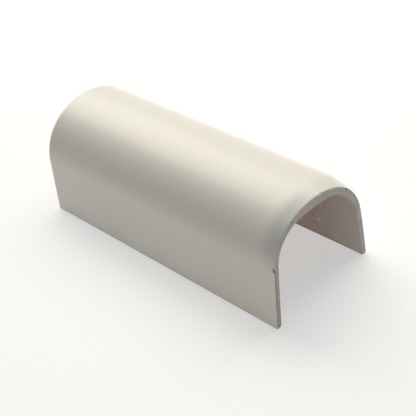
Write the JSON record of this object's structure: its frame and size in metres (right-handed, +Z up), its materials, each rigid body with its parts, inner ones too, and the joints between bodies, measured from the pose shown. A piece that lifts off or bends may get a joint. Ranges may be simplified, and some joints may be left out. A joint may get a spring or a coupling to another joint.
{
  "type": "rub rail",
  "caption": "Short length of arched hollow vinyl rub rail with splayed legs, open underneath and at each end, for capping and cushioning an edge.",
  "frame": {"origin": "under the middle of the rail, in the plane its two feet stand on", "axes": "+X along the rail towards the sawn end that faces the viewer, +Y across from the leg in front to the leg behind, +Z up through the crown"},
  "size_m": [0.1524, 0.0634, 0.0545],
  "materials": {
    "vinyl": "satin gloss, off-white rigid vinyl, matt where it is sawn"
  },
  "bodies": {
    "root": {"rail": "vinyl"}
  },
  "joints": []
}
